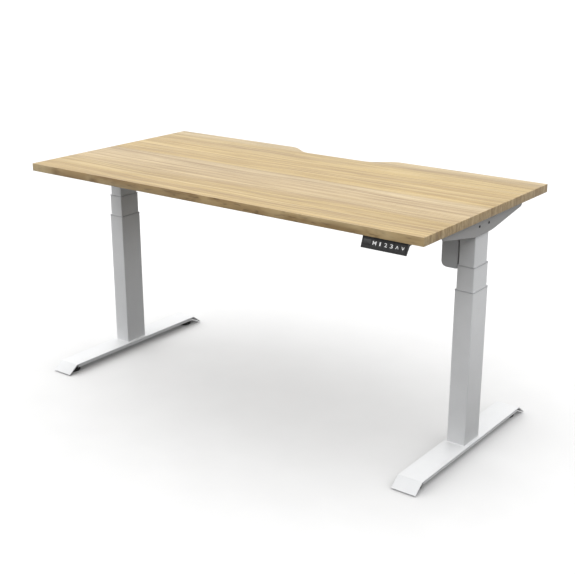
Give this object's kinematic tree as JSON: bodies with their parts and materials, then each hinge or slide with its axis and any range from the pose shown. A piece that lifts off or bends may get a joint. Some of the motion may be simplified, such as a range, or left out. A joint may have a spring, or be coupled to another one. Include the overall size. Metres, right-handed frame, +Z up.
{
  "type": "height adjustable standing desk",
  "caption": "Height-adjustable desk: rectangular oak-laminate top with a rear cable scallop, on two three-stage columns driven by one motor, with flat T feet and a keypad under the front edge.",
  "frame": {"origin": "on the floor under the middle of the desktop, which is the middle of the whole object's box", "axes": "+X along the desktop towards the handset's end, -Y towards the seated user, +Z up"},
  "size_m": [1.5, 0.75, 0.758],
  "materials": {
    "oak_laminate": "textured satin laminate, light oak, grain along the length",
    "edge_band": "light oak print, satin",
    "powder_coat": "fine-texture satin powder coat, silver white",
    "grey_powder_coat": "fine-texture satin powder coat, mid grey",
    "guide_nylon": "moulded, light grey",
    "cover_plastic": "moulded, mid grey, satin",
    "black_plastic": "moulded, black, fine texture",
    "key_plastic": "moulded, black, satin, pale legend",
    "glide_rubber": "moulded, black",
    "zinc_steel": "zinc plated",
    "screw_steel": "rolled, lightly greased",
    "cast_aluminium": "die cast",
    "gear_nylon": "moulded, natural",
    "lead_sheath": "extruded, black"
  },
  "bodies": {
    "left_base": {"left_foot_plate": "powder_coat", "left_foot_channel": "powder_coat", "left_spindle_post": "zinc_steel", "left_outer_tube": "powder_coat", "left_outer_collar": "guide_nylon"},
    "left_middle_stage": {"left_middle_tube": "powder_coat", "left_middle_collar": "guide_nylon", "left_stage_carrier": "zinc_steel"},
    "left_tube_screw": {"left_tube_screw": "zinc_steel"},
    "left_lead_screw": {"left_lead_screw": "screw_steel", "left_drive_gear": "gear_nylon"},
    "left_front_glide_pad": {"left_front_glide_pad": "glide_rubber"},
    "left_front_glide_stud": {"left_front_glide_stud": "zinc_steel"},
    "left_rear_glide_pad": {"left_rear_glide_pad": "glide_rubber"},
    "left_rear_glide_stud": {"left_rear_glide_stud": "zinc_steel"},
    "right_base": {"right_foot_plate": "powder_coat", "right_foot_channel": "powder_coat", "right_spindle_post": "zinc_steel", "right_outer_tube": "powder_coat", "right_outer_collar": "guide_nylon"},
    "right_middle_stage": {"right_middle_tube": "powder_coat", "right_middle_collar": "guide_nylon", "right_stage_carrier": "zinc_steel"},
    "right_tube_screw": {"right_tube_screw": "zinc_steel"},
    "right_lead_screw": {"right_lead_screw": "screw_steel", "right_drive_gear": "gear_nylon"},
    "right_front_glide_pad": {"right_front_glide_pad": "glide_rubber"},
    "right_front_glide_stud": {"right_front_glide_stud": "zinc_steel"},
    "right_rear_glide_pad": {"right_rear_glide_pad": "glide_rubber"},
    "right_rear_glide_stud": {"right_rear_glide_stud": "zinc_steel"},
    "motor_pinion": {"motor_pinion": "screw_steel"},
    "drive_shaft": {"drive_shaft": "screw_steel"},
    "top_stage": {"desktop": "oak_laminate", "edge_band": "edge_band", "left_inner_tube": "powder_coat", "left_gear_head": "cast_aluminium", "left_side_bracket": "grey_powder_coat", "left_crossbeam_rail": "powder_coat", "right_inner_tube": "powder_coat", "right_gear_head": "cast_aluminium", "right_side_bracket": "grey_powder_coat", "right_crossbeam_rail": "powder_coat", "motor": "zinc_steel", "motor_cover": "cover_plastic", "motor_lead": "lead_sheath", "crossbeam_middle": "powder_coat", "control_box_body": "black_plastic", "control_box_cover": "black_plastic", "handset_case": "black_plastic", "handset_panel": "black_plastic", "handset_lead": "lead_sheath"},
    "key_memory": {"key_memory": "key_plastic"},
    "key_preset_1": {"key_preset_1": "key_plastic"},
    "key_preset_2": {"key_preset_2": "key_plastic"},
    "key_preset_3": {"key_preset_3": "key_plastic"},
    "key_up": {"key_up": "key_plastic"},
    "key_down": {"key_down": "key_plastic"}
  },
  "joints": [
    {"name": "desk_lift", "type": "slide", "parent": "left_base", "child": "top_stage", "axis": [0, 0, 1], "range_m": [-0.135, 0.515]},
    {"name": "left_middle_lift", "type": "slide", "parent": "left_base", "child": "left_middle_stage", "axis": [0, 0, 1], "range_m": [-0.0675, 0.2575]},
    {"name": "right_middle_lift", "type": "slide", "parent": "top_stage", "child": "right_middle_stage", "axis": [0, 0, 1], "range_m": [-0.2575, 0.0675]},
    {"name": "right_column_lift", "type": "slide", "parent": "top_stage", "child": "right_base", "axis": [0, 0, 1], "range_m": [-0.515, 0.135]},
    {"name": "left_lead_screw_turn", "type": "hinge", "parent": "top_stage", "child": "left_lead_screw", "pos_m": [-0.704, -0.006, 0.7], "axis": [0, 0, 1], "range_deg": [-2430, 9270]},
    {"name": "left_tube_screw_turn", "type": "hinge", "parent": "left_middle_stage", "child": "left_tube_screw", "pos_m": [-0.704, -0.006, 0.12], "axis": [0, 0, 1], "range_deg": [-1215, 4635]},
    {"name": "right_lead_screw_turn", "type": "hinge", "parent": "top_stage", "child": "right_lead_screw", "pos_m": [0.704, -0.006, 0.7], "axis": [0, 0, 1], "range_deg": [-2430, 9270]},
    {"name": "right_tube_screw_turn", "type": "hinge", "parent": "right_middle_stage", "child": "right_tube_screw", "pos_m": [0.704, -0.006, 0.12], "axis": [0, 0, 1], "range_deg": [-1215, 4635]},
    {"name": "motor_turn", "type": "hinge", "parent": "top_stage", "child": "motor_pinion", "pos_m": [0.664, -0.006, 0.7], "axis": [0, 0, 1], "range_deg": [-11330.01, 2970.01]},
    {"name": "drive_shaft_turn", "type": "hinge", "parent": "top_stage", "child": "drive_shaft", "pos_m": [0, 0.022, 0.7093], "axis": [1, 0, 0], "range_deg": [-8910.01, 33990.01]},
    {"name": "left_front_glide_turn", "type": "hinge", "parent": "left_front_glide_pad", "child": "left_front_glide_stud", "pos_m": [-0.704, -0.301, 0.02], "axis": [0, 0, 1], "range_deg": [-1440, 480]},
    {"name": "left_front_glide_height", "type": "slide", "parent": "left_base", "child": "left_front_glide_pad", "axis": [0, 0, 1], "range_m": [-0.006, 0.002]},
    {"name": "left_rear_glide_turn", "type": "hinge", "parent": "left_rear_glide_pad", "child": "left_rear_glide_stud", "pos_m": [-0.704, 0.289, 0.02], "axis": [0, 0, 1], "range_deg": [-1440, 480]},
    {"name": "left_rear_glide_height", "type": "slide", "parent": "left_base", "child": "left_rear_glide_pad", "axis": [0, 0, 1], "range_m": [-0.006, 0.002]},
    {"name": "right_front_glide_turn", "type": "hinge", "parent": "right_front_glide_pad", "child": "right_front_glide_stud", "pos_m": [0.704, -0.301, 0.02], "axis": [0, 0, 1], "range_deg": [-1440, 480]},
    {"name": "right_front_glide_height", "type": "slide", "parent": "right_base", "child": "right_front_glide_pad", "axis": [0, 0, 1], "range_m": [-0.006, 0.002]},
    {"name": "right_rear_glide_turn", "type": "hinge", "parent": "right_rear_glide_pad", "child": "right_rear_glide_stud", "pos_m": [0.704, 0.289, 0.02], "axis": [0, 0, 1], "range_deg": [-1440, 480]},
    {"name": "right_rear_glide_height", "type": "slide", "parent": "right_base", "child": "right_rear_glide_pad", "axis": [0, 0, 1], "range_m": [-0.006, 0.002]},
    {"name": "key_memory_press", "type": "slide", "parent": "top_stage", "child": "key_memory", "axis": [0, 0.9421, -0.3355], "range_m": [0, 0.0005], "stiffness_N_per_m": 3000, "springref_m": -0.0003},
    {"name": "key_preset_1_press", "type": "slide", "parent": "top_stage", "child": "key_preset_1", "axis": [0, 0.9421, -0.3355], "range_m": [0, 0.0005], "stiffness_N_per_m": 3000, "springref_m": -0.0003},
    {"name": "key_preset_2_press", "type": "slide", "parent": "top_stage", "child": "key_preset_2", "axis": [0, 0.9421, -0.3355], "range_m": [0, 0.0005], "stiffness_N_per_m": 3000, "springref_m": -0.0003},
    {"name": "key_preset_3_press", "type": "slide", "parent": "top_stage", "child": "key_preset_3", "axis": [0, 0.9421, -0.3355], "range_m": [0, 0.0005], "stiffness_N_per_m": 3000, "springref_m": -0.0003},
    {"name": "key_up_press", "type": "slide", "parent": "top_stage", "child": "key_up", "axis": [0, 0.9421, -0.3355], "range_m": [0, 0.0005], "stiffness_N_per_m": 3000, "springref_m": -0.0003},
    {"name": "key_down_press", "type": "slide", "parent": "top_stage", "child": "key_down", "axis": [0, 0.9421, -0.3355], "range_m": [0, 0.0005], "stiffness_N_per_m": 3000, "springref_m": -0.0003}
  ],
  "couplings": [
    {"joint": "left_middle_lift", "follows": "desk_lift", "ratio": 0.5},
    {"joint": "right_middle_lift", "follows": "desk_lift", "ratio": -0.5},
    {"joint": "right_column_lift", "follows": "desk_lift", "ratio": -1},
    {"joint": "left_lead_screw_turn", "follows": "desk_lift", "rad_per_m": 314.16},
    {"joint": "left_tube_screw_turn", "follows": "desk_lift", "rad_per_m": 157.08},
    {"joint": "right_lead_screw_turn", "follows": "desk_lift", "rad_per_m": 314.16},
    {"joint": "right_tube_screw_turn", "follows": "desk_lift", "rad_per_m": 157.08},
    {"joint": "motor_turn", "follows": "desk_lift", "rad_per_m": -383.97},
    {"joint": "drive_shaft_turn", "follows": "desk_lift", "rad_per_m": 1151.9},
    {"joint": "left_front_glide_turn", "follows": "left_front_glide_height", "rad_per_m": 4188.8},
    {"joint": "left_rear_glide_turn", "follows": "left_rear_glide_height", "rad_per_m": 4188.8},
    {"joint": "right_front_glide_turn", "follows": "right_front_glide_height", "rad_per_m": 4188.8},
    {"joint": "right_rear_glide_turn", "follows": "right_rear_glide_height", "rad_per_m": 4188.8}
  ]
}
